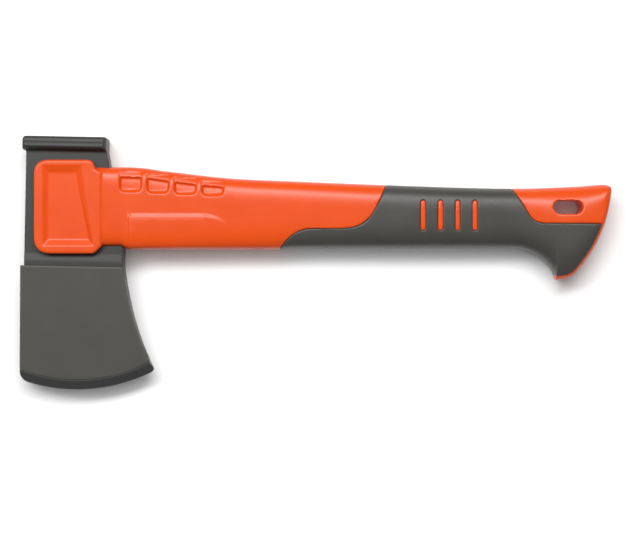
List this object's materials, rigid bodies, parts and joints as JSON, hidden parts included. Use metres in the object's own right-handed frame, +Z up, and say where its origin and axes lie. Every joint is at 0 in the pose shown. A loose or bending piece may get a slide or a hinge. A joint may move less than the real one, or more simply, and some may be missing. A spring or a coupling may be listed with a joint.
{
  "type": "hatchet with edge cover",
  "caption": "One-hand hatchet with a forged steel head, moulded orange handle, dark soft grip, hammer poll, hanging slot and a pull-off edge cover.",
  "frame": {"origin": "middle of the tool's outline, on the surface it lies on", "axes": "+X from the head to the butt, +Y from the cutting edge to the hammer poll, +Z up through the thickness"},
  "size_m": [0.3402, 0.146, 0.028],
  "materials": {
    "coated_steel": "satin",
    "orange_nylon": "satin",
    "soft_rubber": "matt",
    "cover_plastic": "matt",
    "strip_plastic": "matt"
  },
  "bodies": {
    "axe": {"steel_head": "coated_steel", "handle_core": "orange_nylon", "soft_grip": "soft_rubber"},
    "edge_cover": {"cover_shell": "cover_plastic", "cover_edge_strip": "strip_plastic"}
  },
  "joints": [
    {"name": "cover_slide", "type": "slide", "parent": "axe", "child": "edge_cover", "axis": [-0.0192, -0.9998, 0], "range_m": [0, 0.08]}
  ]
}
